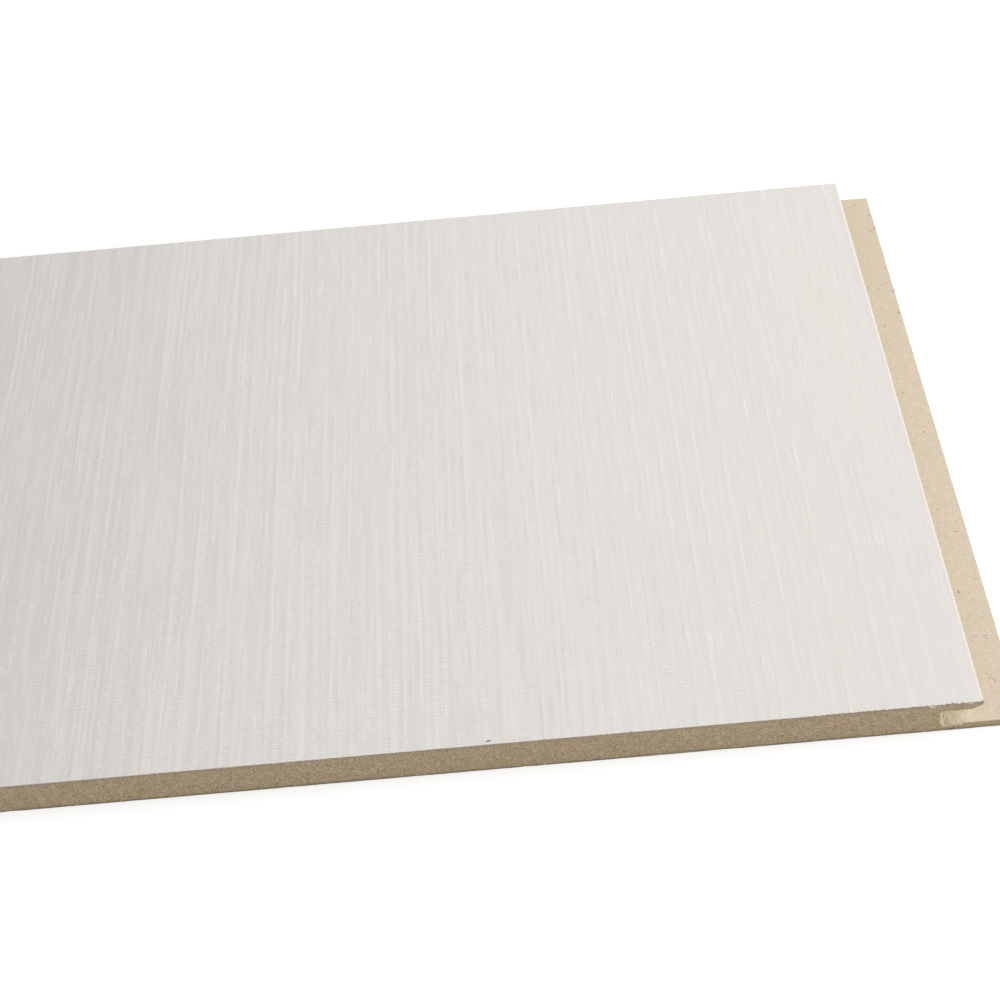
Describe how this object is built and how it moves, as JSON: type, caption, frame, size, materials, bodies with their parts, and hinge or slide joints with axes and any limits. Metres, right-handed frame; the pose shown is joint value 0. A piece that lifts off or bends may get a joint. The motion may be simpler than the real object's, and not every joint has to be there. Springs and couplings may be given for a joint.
{
  "type": "mdf wall panel",
  "caption": "Short sawn sample of a foil-faced MDF wall panel with a groove and fixing lip along one long edge and a mating tongue along the other.",
  "frame": {"origin": "middle of the panel's bounding box, on the level of its back", "axes": "+X across the panel towards the grooved edge, +Y along the panel, +Z out of the decorated face"},
  "size_m": [0.3976, 0.3, 0.01],
  "materials": {
    "mdf_board": "raw sawn and milled fibreboard",
    "decor_foil": "matt linen-look decor foil"
  },
  "bodies": {
    "root": {"mdf_board": "mdf_board", "decor_foil": "decor_foil"}
  },
  "joints": []
}
